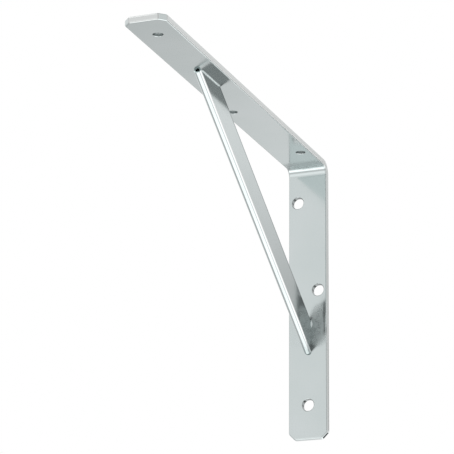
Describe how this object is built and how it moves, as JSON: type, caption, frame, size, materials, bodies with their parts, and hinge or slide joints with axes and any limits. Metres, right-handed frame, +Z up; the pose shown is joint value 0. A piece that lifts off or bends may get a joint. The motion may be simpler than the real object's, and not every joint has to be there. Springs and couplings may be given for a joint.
{
  "type": "wall bracket",
  "caption": "Braced right-angle shelf bracket: a bent flat steel strip with round screw holes in its wall leg and shelf arm, and a folded sheet brace across its corner.",
  "frame": {"origin": "on the wall face of the leg, on the strip's centre line, level with the top wall hole", "axes": "+Z up along the leg, +Y into the wall so that the arm reaches out towards -Y, +X across the strip to the right for someone at the wall who looks at the front of the leg from the room"},
  "size_m": [0.0286, 0.3, 0.2],
  "materials": {
    "strip_steel": "bright zinc plating, lightly rolled grain",
    "brace_steel": "bright zinc plating, smooth"
  },
  "bodies": {
    "root": {"mounting_strip": "strip_steel", "diagonal_brace": "brace_steel"}
  },
  "joints": []
}
